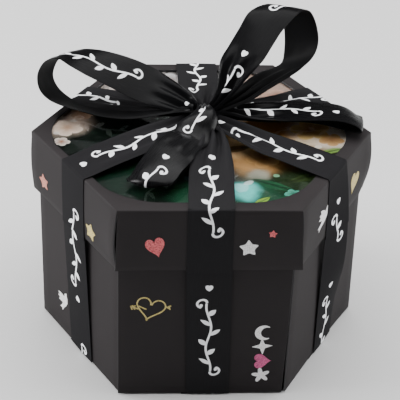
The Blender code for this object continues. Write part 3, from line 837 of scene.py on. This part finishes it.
# each row: x, y and height over the lid, yaw and tilt of the line across, its width, then its crown and pleats
bowLoops = {
    "left_loop": {
        "node": "bow_loop_left", "flip": False, "print": (1, 54.0), "rows": (
            (-4.5, 4, 11.4, 57, 11, 9), (-8.6, 9, 11, 61, 19, 15), (-17.1, 13, 14, 65, 22, 20),
            (-27.7, 17, 17.7, 66, 24, 22.8),
            (-38, 19.5, 21.7, 64, 25, 22.8), (-48.4, 22, 25.4, 67, 18, 22.8), (-58.7, 24, 28.5, 70, 9, 22.8),
            (-66.7, 26, 30.3, 71, -3, 22.8), (-73.2, 27.5, 30.7, 73, -16, 22.8), (-78.5, 29, 28, 71, -20, 22.8),
            (-82.1, 30, 23.4, 71, -21, 22.8), (-84.1, 30, 16.5, 70, -23, 22.8), (-82.4, 28.5, 10, 68, -20, 22.8),
            (-77.4, 25, 6, 67, -20, 22.8), (-69.6, 20, 4.3, 67, -22, 22.8), (-59.9, 17, 3.8, 70, -17, 22.8),
            (-49.7, 13.5, 3.9, 72, -12, 22.8), (-36.7, 10, 5.4, 73, -8, 22.8), (-24.6, 7, 7.6, 76, -9, 19),
            (-12.8, 4, 9.4, 75, -12, 12), (-5, 2, 10, 76, -9, 8),
        ),
    },
    "tall_loop": {
        "node": "bow_loop_tall", "flip": True, "print": (1, 21.0), "rows": (
            (1.5, 1.5, 9, 100, -2, 7), (7.9, 4, 14.6, 118, -2, 8), (12.4, 8, 21.4, 130, -4, 14),
            (16.4, 12, 30.9, 139, 6, 20),
            (22.6, 17, 38.1, 135, 6, 22.8), (27.7, 22, 44.7, 135, 8, 22.8), (32.3, 27, 50.4, 137, 9, 22.8),
            (37.7, 31, 54, 136, 1, 22.8), (43, 34.5, 55.6, 131, -7, 22.8), (47.4, 37.5, 54.3, 130, -15, 22.8),
            (51.1, 40, 49.3, 133, -20, 22.8), (54.1, 42, 40.4, 137, -18, 22.8), (55.2, 42, 30.8, 140, -21, 22.8),
            (53.5, 40, 22.4, 137, -27, 22.8), (47.4, 36, 18.9, 134, -22, 22.8), (39.6, 29, 18, 130, -14, 20),
            (30.5, 20, 17, 126, -2, 15.5), (21.6, 11, 15, 130, 9, 11), (12.8, 5, 12.3, 110, 5, 8),
            (4, 1.5, 9, 100, 0, 7),
        ),
    },
    "right_loop": {
        "node": "bow_loop_right", "flip": True, "print": (1, 76.6), "rows": (
            (3, 2, 11, 96, 10, 7), (11.7, 3, 10.7, 94, 8, 8), (20.9, 5, 8.9, 91, 5, 13), (31.9, 6, 8.9, 84, 3, 19),
            (44.8, 6.5, 8.9, 80, 0, 22.8),
            (57.4, 6.5, 8.8, 78, -2, 22.8), (69.3, 5.5, 8.7, 75, -5, 22.8), (76.6, 4, 7.8, 78, -9, 22.8),
            (82.6, 1.5, 5.6, 80, -13, 22.8), (85.2, 0.4, 4.0, 80, -10, 22.8), (83.5, 2.4, 2.7, 79, -5, 22.8),
            (77, 6.8, 2.6, 78, -3, 22.8),
            (68, 10.5, 3.4, 78, -2, 22.8), (56, 12.6, 4.2, 79, -2, 22.8), (44, 12.2, 5.0, 81, 0, 22.8),
            (31, 9.8, 5.6, 85, 0, 19),
            (20, 6.4, 6.4, 90, 0, 13), (10, 3.4, 8, 94, 0, 8), (3, 1.5, 9, 96, 0, 7),
        ),
    },
    "front_loop": {  # comes over the knot as a lobe and runs on into the loop
        "node": "bow_loop_front", "flip": False, "print": (-1, 35.0), "gloss": 1.2, "rows": (
            (1.6, 6.5, 7, 180, 0, 7, 0.6, 0.6), (0.8, 3.4, 13.2, 180, 0, 5.5, 1.0, 0.3),
            (0.2, -3.6, 14.8, 182, -6, 11, 2.4, 0.15),
            (-2.9, -10.4, 13.0, 181, 0, 19.4, 3.8, 0.1), (-5.2, -15.4, 9.8, 174, 4, 19.6, 3.2, 0.1),
            (-7.3, -20.2, 8.0, 158, 8, 19.6, 1.6, 0.2), (-10.4, -25.6, 9.2, 138, 12, 19.8, 1.2, 0.3),
            (-16.1, -35.7, 9.8, 137, 11, 22.8, 1.6, 1),
            (-21.8, -45.4, 8.8, 142, 4, 22.8, 2.0, 1), (-26.0, -52.6, 7.2, 149, 0, 22.8, 2.8, 1),
            (-29.3, -57.0, 5.2, 156, -6, 22.8, 3.8, 1),
            (-30.3, -58.9, 3.6, 158, -7, 22.8, 4.2, 1), (-29.8, -57.0, 2.4, 156, -4, 22.8, 1.8, 1),
            (-26.2, -51, 2.4, 147, -1, 22.8, 0.6, 1),
            (-22, -43, 3.4, 139, 2, 22.8, 0.6, 0.8), (-16, -33, 4.2, 136, 3, 22.8, 0.6, 0.8),
            (-10, -22, 4.8, 131, 4, 18, 0.6, 0.8),
            (-3, -9, 5.6, 124, 4, 9, 0.6, 0.8), (-1, -3, 6.5, 124, 2, 8, 0.6, 0.8),
        ),
    },
}


def makeLoop(name, loop):
    rows = []
    for x, y, z, yaw, tilt, width, *form in loop["rows"]:
        yaw, tilt = math.radians(yaw), math.radians(tilt)
        span = Vector((math.cos(tilt) * math.cos(yaw), math.cos(tilt) * math.sin(yaw), math.sin(tilt))) * width
        rows.append((Vector((x, y, z + top)), span, Vector((*(form or ribbonCloth["form"]), 0))))
    # the loops take the darker bow tone of the satin: painted shade
    finish = makeSatin("satin_" + name, "bow", loop["print"], loop.get("gloss"))
    makeBand(name, rows, "lid", loop["node"], finish, loop["flip"], "gathered")


for name, loop in bowLoops.items():
    makeLoop(name, loop)
print("bow loops made")

knot = {"half": (8.0, 7.0, 5.2), "lift": 7.0, "pleats": (11, 0.07), "lumps": (5, 0.05)}  # number and depth of each


def makeKnotCore():
    # the gathered ribbons inside the wrap
    clearSelection()
    bpy.ops.mesh.primitive_uv_sphere_add(segments=66, ring_count=24, radius=1)
    core = bpy.context.object
    wide, deep, tall = knot["half"]
    pleats, pleatDepth = knot["pleats"]
    lumps, lumpDepth = knot["lumps"]
    for vertex in core.data.vertices:
        x, y, z = vertex.co
        angle = math.atan2(y, x)
        pleat = 1 + pleatDepth * math.sin(pleats * angle) * (1 - z**2)
        lump = 1 + lumpDepth * math.sin(lumps * angle)
        vertex.co = Vector((x * wide * pleat, y * deep * pleat, z * tall * lump + top + knot["lift"])) * mm
    coat(core, satinBack)
    smoothShade(core, 60)
    finishPiece(core, "knot_core", "lid", "satin_ribbon", "bow_knot")


makeKnotCore()
print("knot made")

backRows = ((76, -11.4, 11.4), (60, -11, 11), (40, -8, 8), (24, -6, 6), (12, -4, 4), (4, -4, 4))
strapSet = {
    "rows": {  # over the lid: out from the middle, left edge, right edge
        "front": (
            (76, -10.6, 12.2), (58.6, -9.9, 12.8), (45, -8.9, 13.4), (33.5, -6.8, 13), (20, -2, 11.5),
            (10, -1, 8), (4, -3, 5),
        ),
        "front_left": (
            (75, -10.4, 12.4), (61, -11.2, 11.4), (50, -11.2, 11.3), (31, -10.6, 11), (17, -8.2, 9),
            (9, -6, 6), (4, -4, 4),
        ),
        "front_right": (
            (76, -12.6, 10.2), (62, -12.8, 10), (50, -12.9, 9.8), (38, -13.4, 8.6), (24, -10.5, 7.8),
            (10, -8.0, 5.4), (4, -5, 3),
        ),
        "back": ((76, -11.4, 11.4), (60, -11.4, 11.4), (40, -11, 11), (24, -8, 8), (12, -5, 5), (4, -4, 4)),
        "back_left": backRows, "back_right": backRows,
    },
    "rise": 0.115, "over": 0.45,  # it climbs towards the knot, and lies this far over the lid
    "lidForm": (0.12, 0.9), "wallForm": (0.25, 0),  # crown and depth of the pleats
    "fold": ((-0.5, 0.42), (0.15, 0.1), (0.42, -0.6)),  # over the lid's edge: out and up
    "down": (0.06, 0.15, 0.3, 0.45, 0.6, 0.75, 0.9, 1.0, 1.05),  # down the skirt, as shares of its height
    "middle": 0.15, "stand": 0.35,  # where along the flap its bulge is taken, and how far off it the ribbon lies
    "clear": (0.75, 0.25, 0.3),  # past this share of the skirt it stands further off, by so much in so much
    "edges": {  # left edge at the top and at the bottom of the skirt, then at the top and the foot of the wall
        "front": (-11.0, -10.7, -10.6, -8.9), "front_left": (-10.6, -10.8, -11.2, -8.8),
        "front_right": (-13.0, -11.2, -10.6, -5.9), "back": (-11.4, -11.2, -11.2, -10.8),
        "back_left": (-11.4, -11.6, -11.6, -12.6), "back_right": (-11.4, -11, -11, -10.4),
    },
    "foot": (0.7, 1.1), "head": (0.05, 81.6),  # on the wall: out from the card and from the skirt, and the height
    "up": (1.0, 0.9, 0.75, 0.6, 0.45, 0.3, 0.15, 0.05, 0.0),
    "print": {  # on the lid, then on the wall
        "front": ((-1, 7.5), (-1, 70.0)), "front_left": ((1, 77.0), (1, 14.2)), "front_right": ((-1, 67.0), (-1, 12.0)),
        "back": ((1, 58.0), (1, 40.0)), "back_left": ((1, 42.0), (1, 20.0)), "back_right": ((1, 61.0), (1, 5.0)),
    },
    "gloss": {"front_left": 1.05, "front_right": 1.04},
    "flare": {"front_right": 4.4},
}


def strapFlare(side, height):
    # how far the ribbon's right edge stands off the card: slowly more, and soon less again on the wall
    fall = max(0, 1 - height / top)
    return strapSet["flare"].get(side, 0) * math.sin(math.pi * fall) ** (1 if fall < 0.5 else 4)


def makeStrap(name, side, path, form, body, replaced, finish):
    # each row of the path: out, left edge, right edge, height
    rows = []
    for out, left, right, height in path:
        flare = strapFlare(side, height)
        width = math.sqrt((right - left) ** 2 - flare**2)
        start, end = sidePoint(side, out, left, height) / mm, sidePoint(side, out + flare, left + width, height) / mm
        rows.append(((start + end) / 2, end - start, Vector((*form, 0))))
    makeBand(name + side, rows, body, replaced + side, finish, True, "stretched")


strapFinishes = {}
for side, rows in strapSet["rows"].items():
    # each side's lid and wall straps take the lighter strap tone of the satin: painted light
    strapFinishes[side] = [
        makeSatin(name + side, "strap", printed, strapSet["gloss"].get(side))
        for name, printed in zip(("satin_lid_", "satin_wall_"), strapSet["print"][side])
    ]
    rise = strapSet["rise"]
    path = [(out, left, right, top + strapSet["over"] + (lidOut - out) * rise) for out, left, right in reversed(rows)]
    left, low = strapSet["edges"][side][:2]
    path += [(lidOut + out, left, left + ribbonWidth, top + up) for out, up in strapSet["fold"]]
    for down in strapSet["down"]:
        edge = left + (low - left) * down
        start, more, within = strapSet["clear"]
        stand = strapSet["stand"] + more * max(0, down - start) / within
        out = lidOut + skirtBulge(side, strapSet["middle"], down) + stand
        path.append((out, edge, edge + ribbonWidth, top - down * lid["skirt"]))
    makeStrap(
        "lid_ribbon_", side, path, strapSet["lidForm"], "lid", "lid_strap_", strapFinishes[side][0]
    )
print("lid ribbons made")

# outer walls

wall = {
    "out": 75.34, "bottom": 0.8, "top": 85.0, "width": 86.0, "card": 1.0, "edge": 0.2, "bow": 0.35, "grid": 12,
    "ends": {"front": (-44.6, 43.0), "front_left": (-43.0, 42.2)},
    "pinch": 1.2,  # the front panel's right edge leans in towards the foot
    "spread": (0.3, 1.1), "spreadFrom": 0.3, "spreadAcross": 0.5,
}


def wallSpread(side, along, up):
    # the front right panel's right corner stands out, more at the foot
    if side != "front_right" or along < 0:
        return 0
    low, more = wall["spread"]
    return (low + more * (1 - up)) * share(along, wall["spreadFrom"]) ** 2


def wallStand(side, along, up):
    # how far a panel stands out, with along from -1 to 1 and up from 0 to 1
    return wall["bow"] * (1 - along**2) * math.sin(math.pi * min(1, max(0, up))) + wallSpread(side, along, up)


def makeWall(side):
    clearSelection()
    bpy.ops.mesh.primitive_grid_add(x_subdivisions=wall["grid"], y_subdivisions=wall["grid"], size=1)
    panel = bpy.context.object
    height = wall["top"] - wall["bottom"]
    start, end = wall["ends"].get(side, (-wall["width"] / 2, wall["width"] / 2))
    for vertex in panel.data.vertices:
        right, up = vertex.co.x + 0.5, vertex.co.y + 0.5
        along = 2 * right - 1
        across = start + (end - start) * right + wall["spreadAcross"] * wallSpread(side, along, up)
        if side == "front":
            across -= wall["pinch"] * (1 - up) ** 2 * right**2
        vertex.co = sidePoint(side, wall["out"] + wallStand(side, along, up), across, wall["bottom"] + up * height)
    # the rims take the cut-edge finish: a lighter core and a painted highlight
    coat(panel, blackCard, cutEdgeAndHighlight)
    addModifier(panel, "card", "SOLIDIFY", thickness=wall["card"] * mm, offset=-1, material_offset_rim=1)
    addModifier(
        panel, "edge", "BEVEL", width=wall["edge"] * mm, segments=3, limit_method="ANGLE", angle_limit=math.radians(50)
    )
    applyModifiers(panel)
    smoothShade(panel, 35)
    finishPiece(panel, "outer_panel_" + side, "outer_" + side, "black_card", "outer_wall_" + side)


for side in sides:
    makeWall(side)
print("outer walls made")

for side in sides:
    low = wall["out"] + strapSet["foot"][0], strapSet["foot"][1]
    high = lidOut + strapSet["head"][0], strapSet["head"][1]
    head, foot = strapSet["edges"][side][2:]
    path = []
    for up in strapSet["up"]:
        edge = foot + (head - foot) * up
        path.append((low[0] + (high[0] - low[0]) * up, edge, edge + ribbonWidth, low[1] + (high[1] - low[1]) * up))
    makeStrap(
        "wall_ribbon_", side, path, strapSet["wallForm"], "outer_" + side, "wall_strap_", strapFinishes[side][1],
    )
print("wall ribbons made")

motifs = (
    # name, side, carried by, across and height of its middle, size, turn, shape, finish
    ("red_heart", "front", "skirt", (-26.2, 96.6), 9.6, 15, "longHeart", "red_glitter"),
    ("silver_star", "front", "skirt", (19.7, 95.4), 9.2, 4, "star", "silver_glitter"),
    ("small_red_star", "front", "skirt", (31.0, 103.9), 4.2, -6, "star", "red_glitter"),
    ("gold_star", "front_left", "skirt", (18.8, 89.8), 9.6, -8, "star", "gold_foil"),
    ("rose_star", "front_left", "skirt", (-31.2, 92.6), 9.0, 10, "star", "rose_foil"),
    ("white_bird_right", "front_right", "skirt", (-17.4, 98.9), 16.5, 40, "bird", "white_glitter"),
    ("gold_heart", "front_right", "skirt", (24.6, 96.8), 10.4, -16, "longHeart", "gold_foil"),
    ("white_star_back", "back", "skirt", (-26, 97), 8.4, 8, "star", "white_glitter"),
    ("rose_heart_back", "back", "skirt", (24, 95), 9.6, -14, "heart", "rose_foil"),
    ("silver_heart_side", "back_right", "skirt", (-23, 96), 9.2, 12, "heart", "silver_glitter"),
    ("red_star_side", "back_right", "skirt", (27, 99), 7.6, 0, "star", "red_glitter"),
    ("gold_blossom_side", "back_left", "skirt", (-25, 96), 9.4, 12, "blossom", "gold_foil"),
    ("small_white_star", "back_left", "skirt", (28, 101), 4.6, 8, "star", "white_glitter"),
    ("gold_heart_ring", "front", "wall", (-28.2, 57.0), 15.4, -14, "ring", "gold_foil"),
    ("white_blossom", "front", "wall", (30.2, 12.8), 9.8, 10, "blossom", "white_glitter"),
    ("pink_heart", "front", "wall", (30.0, 22.2), 9.6, 92, "heart", "pink_glitter"),
    ("white_spark", "front", "wall", (30.0, 32.0), 11.0, 4, "spark", "white_glitter"),
    ("white_moon", "front", "wall", (30.4, 40.8), 9.4, 0, "moon", "white_glitter"),
    ("white_bird_left", "front_left", "wall", (-18.6, 23.2), 15, 66, "bird", "white_glitter"),
    ("red_heart_back", "back", "wall", (-27, 38), 11.0, 10, "heart", "red_glitter"),
    ("white_bird_back", "back", "wall", (27, 52), 13.0, 8, "bird", "white_glitter"),
    ("gold_moon_side", "back_right", "wall", (-26, 46), 9.0, 18, "moon", "gold_foil"),
    ("pink_blossom_side", "back_right", "wall", (26, 24), 9.4, 0, "blossom", "pink_glitter"),
    ("silver_star_side", "back_left", "wall", (26, 44), 8.8, 10, "star", "silver_glitter"),
    ("rose_heart_side", "back_left", "wall", (-27, 22), 9.8, -12, "heart", "rose_foil"),
)
motifCut = {
    "thick": 0.1, "gap": 0.03, "line": 0.75,
    "petals": (0.36, 0.14), "moon": (0.5, 0.37, 0.2),  # middle and swing; outer and inner arc, and how far that is off
    "pointed": {"star": (5, 0.57, 0.31, 0.085), "spark": (4, 0.5, 0.17, 0.03)},  # points, tips, hollows, rounding
    "arrow": (  # through the ring: x, y, length, width, turn; in line with the wall, so turned back by the heart's turn
        (-7.9, -1.8, 4.6, 0.7, -9), (8.3, 2.3, 2.6, 0.7, -15), (9.1, 3.3, 1.8, 0.7, 32), (9.5, 2.1, 1.8, 0.7, -60),
        (-9.4, -1.2, 1.7, 0.65, 36), (-9.1, -2.6, 1.7, 0.65, -54), (-8.2, -0.9, 1.7, 0.65, 36),
        (-7.9, -2.3, 1.7, 0.65, -54), (-3.9, -0.8, 4.4, 0.7, -14),
    ),
    "birdFit": (12.5, 2.2),  # the length and the middle height of the outline below
    "bird": (
        (5.9, 0.9), (5.0, 1.7), (4.2, 2.1), (3.2, 1.9), (2.2, 1.7), (1.9, 3.2), (1.2, 5.0), (-0.2, 7.0), (-0.6, 5.2),
        (-2.2, 6.4), (-2.0, 4.4), (-3.8, 5.0), (-2.6, 2.6), (-2.0, 1.4), (-4.2, 1.7), (-6.4, 2.4), (-5.6, 1.0),
        (-6.6, 0.0), (-4.0, -0.4), (-1.5, -1.4), (1.5, -1.7), (3.8, -0.8), (4.8, 0.3),
    ),
}


def polar(radius, degrees):
    return radius * math.cos(math.radians(degrees)), radius * math.sin(math.radians(degrees))


def outlinePoints(shape):
    # a unit outline, about one wide
    if shape in ("heart", "longHeart", "ring"):
        stretch = 1.3 if shape == "longHeart" else 1
        turns = [2 * math.pi * (number + 0.5) / 44 for number in range(44)]
        return [(
            math.sin(t) ** 3 / 2,
            (13 * math.cos(t) - 5 * math.cos(2 * t) - 2 * math.cos(3 * t) - math.cos(4 * t)) / 31 * stretch,
        ) for t in reversed(turns)]
    if shape in motifCut["pointed"]:
        points, tip, hollow = motifCut["pointed"][shape][:3]
        return [polar(hollow if number % 2 else tip, 90 + 180 / points * number) for number in range(2 * points)]
    if shape == "blossom":
        middle, swing = motifCut["petals"]
        turns = range(0, 360, 6)
        return [polar(middle + swing * math.cos(math.radians(5 * (degrees - 90))), degrees) for degrees in turns]
    if shape == "moon":
        outer, inner, off = motifCut["moon"]
        back = [polar(outer, degrees) for degrees in range(50, 311, 10)]
        return back + [(x + off, y) for x, y in (polar(inner, degrees) for degrees in range(285, 74, -15))]
    long, middle = motifCut["birdFit"]
    return [(x / long, (y - middle) / long) for x, y in motifCut["bird"]]


def cutRing():
    # only the line is left, and an arrow runs through it
    bpy.ops.mesh.inset(thickness=motifCut["line"] * mm)
    bpy.ops.mesh.delete(type="FACE")
    for x, y, long, wide, angle in motifCut["arrow"]:
        bpy.ops.mesh.select_all(action="DESELECT")
        bpy.ops.mesh.primitive_plane_add(size=1 * mm, location=(0, 0, 0))
        bpy.ops.transform.resize(value=(long, wide, 1))
        bpy.ops.transform.rotate(value=math.radians(-angle), orient_axis="Z", center_override=(0, 0, 0))
        bpy.ops.transform.translate(value=(x * mm, y * mm, 0))


def makeMotif(name, side, carrier, middle, size, turn, shape, finish):
    outline = outlinePoints(shape)
    clearSelection()
    bpy.ops.mesh.primitive_circle_add(vertices=len(outline), radius=1, fill_type="NGON")
    cut = bpy.context.object
    for vertex, (x, y) in zip(cut.data.vertices, outline):
        vertex.co = (x * size * mm, y * size * mm, 0)
    bpy.ops.object.mode_set(mode="EDIT")
    bpy.ops.mesh.select_all(action="SELECT")
    bpy.ops.mesh.normals_make_consistent(inside=False)
    if shape in motifCut["pointed"]:
        bpy.ops.mesh.bevel(offset=motifCut["pointed"][shape][3] * size * mm, segments=3, affect="VERTICES")
    if shape == "ring":
        cutRing()
    bpy.ops.object.mode_set(mode="OBJECT")
    c, s = math.cos(math.radians(turn)), math.sin(math.radians(turn))
    for vertex in cut.data.vertices:
        # it is laid on the card as the card bulges there
        x, y = vertex.co.x / mm, vertex.co.y / mm
        across, height = middle[0] + x * c - y * s, middle[1] + x * s + y * c
        if carrier == "skirt":
            out = lidOut + skirtBulge(side, across / (lid["side"] / 2), (top - height) / lid["skirt"])
        else:
            up = (height - wall["bottom"]) / (wall["top"] - wall["bottom"])
            out = wall["out"] + wallStand(side, 2 * across / wall["width"], up)
        vertex.co = sidePoint(side, out + motifCut["gap"], across, height)
    coat(cut, glitters[finish])
    addModifier(cut, "foil", "SOLIDIFY", thickness=motifCut["thick"] * mm, offset=1)
    applyModifiers(cut)
    finishPiece(cut, name, "lid" if carrier == "skirt" else "outer_" + side, "black_card")


for motif in motifs:
    makeMotif(*motif)
print("glitter motifs made")

underRuns = {"turns": (30, 90, 150), "low": 0.08, "step": 0.14, "thick": 0.12, "grid": (30, 6)}


def makeUnderRibbon():
    # three runs crossing under the base, flat on the table
    strips = []
    for number, degrees in enumerate(underRuns["turns"]):
        clearSelection()
        along, across = underRuns["grid"]
        bpy.ops.mesh.primitive_grid_add(x_subdivisions=along, y_subdivisions=across, size=1)
        strip = bpy.context.object
        vertices = strip.data.vertices

        def printedAt(index):
            return vertices[index].co.y + 0.5, vertices[index].co.x * 2 * wall["out"] / ribbonWidth

        mapRibbon(strip, printedAt, lambda index: (1, 0))
        height = underRuns["low"] + underRuns["step"] * number
        for vertex in vertices:
            vertex.co = Vector((vertex.co.x * 2 * wall["out"], vertex.co.y * ribbonWidth, height)) * mm
        strip.data.transform(Matrix.Rotation(math.radians(degrees), 4, "Z"))
        # they share the straps' wall finish, whose lighter tone is painted light
        coat(strip, strapFinishes["back"][1])
        addModifier(strip, "satin", "SOLIDIFY", thickness=underRuns["thick"] * mm, offset=0)
        applyModifiers(strip)
        strips.append(strip)
    clearSelection()
    for strip in strips:
        strip.select_set(True)
    bpy.context.view_layer.objects.active = strips[0]
    bpy.ops.object.join()
    finishPiece(strips[0], "under_ribbons", "base", "satin_ribbon", "under_ribbon")


makeUnderRibbon()

cushion = {
    "apothem": 25.1, "low": 7.2, "high": 17.4, "round": 3.0, "cell": 1.5,
    "seam": (0.8, 1.0),  # the band along its rim that is held: in from the edge, and up and down from the middle
    "cloth": {
        "quality": 8, "mass": 0.0004, "tension_stiffness": 4, "compression_stiffness": 4, "shear_stiffness": 2,
        "bending_stiffness": 0.05, "use_pressure": True, "uniform_pressure_force": 4.0, "vertex_group_mass": "seam",
    },
    "frames": 20, "swell": 1.4, "rest": 6.95,  # how far a point may move, and the tray's floor
}


def swellCushion(pad, middle):
    # cloth simulation under pressure between the pad's seam and the tray's floor
    start = [vertex.co.copy() for vertex in pad.data.vertices]
    seam = pad.vertex_groups.new(name="seam")
    inset, half = cushion["seam"]
    for vertex in pad.data.vertices:
        turned = (math.atan2(vertex.co.y, vertex.co.x) + math.pi / 6) % (math.pi / 3) - math.pi / 6
        reach = vertex.co.xy.length * math.cos(turned) / mm
        if reach > cushion["apothem"] - inset and abs(vertex.co.z / mm - middle) < half:
            seam.add([vertex.index], 1.0, "REPLACE")
    cloth = pad.modifiers.new("swelling", "CLOTH")
    setAll(cloth.settings, cushion["cloth"])
    cloth.settings.effector_weights.gravity = 0
    cloth.collision_settings.use_collision = False
    cloth.point_cache.frame_start, cloth.point_cache.frame_end = 1, cushion["frames"]
    for number in range(1, cushion["frames"] + 1):
        bpy.context.scene.frame_set(number)
    applyModifiers(pad)
    bpy.context.scene.frame_set(1)
    pad.vertex_groups.clear()
    limit = cushion["swell"] * mm
    for vertex, place in zip(pad.data.vertices, start):
        move = vertex.co - place
        if move.length > limit:
            move *= limit / move.length
        vertex.co = place + move
        vertex.co.z = max(vertex.co.z, cushion["rest"] * mm)


def makeCushion():
    # a small velvet pad
    clearSelection()
    middle = (cushion["low"] + cushion["high"]) / 2
    radius, height = cushion["apothem"] / math.cos(math.pi / 6), cushion["high"] - cushion["low"]
    bpy.ops.mesh.primitive_cylinder_add(
        vertices=6, radius=radius * mm, depth=height * mm, location=(0, 0, middle * mm), rotation=(0, 0, math.pi / 6)
    )
    pad = bpy.context.object
    settle(pad)
    addModifier(pad, "rounded", "BEVEL", width=cushion["round"] * mm, segments=4, limit_method="NONE")
    addModifier(pad, "cells", "REMESH", mode="VOXEL", voxel_size=cushion["cell"] * mm)
    applyModifiers(pad)
    swellCushion(pad, middle)
    addModifier(pad, "finer", "SUBSURF", levels=1, render_levels=1)
    applyModifiers(pad)
    coat(pad, makeVelvet())
    smoothShade(pad, 60)
    finishPiece(pad, "gift_pad", "base", "cushion_velvet", "gift_cushion")


makeCushion()
print("base ribbons and cushion made")
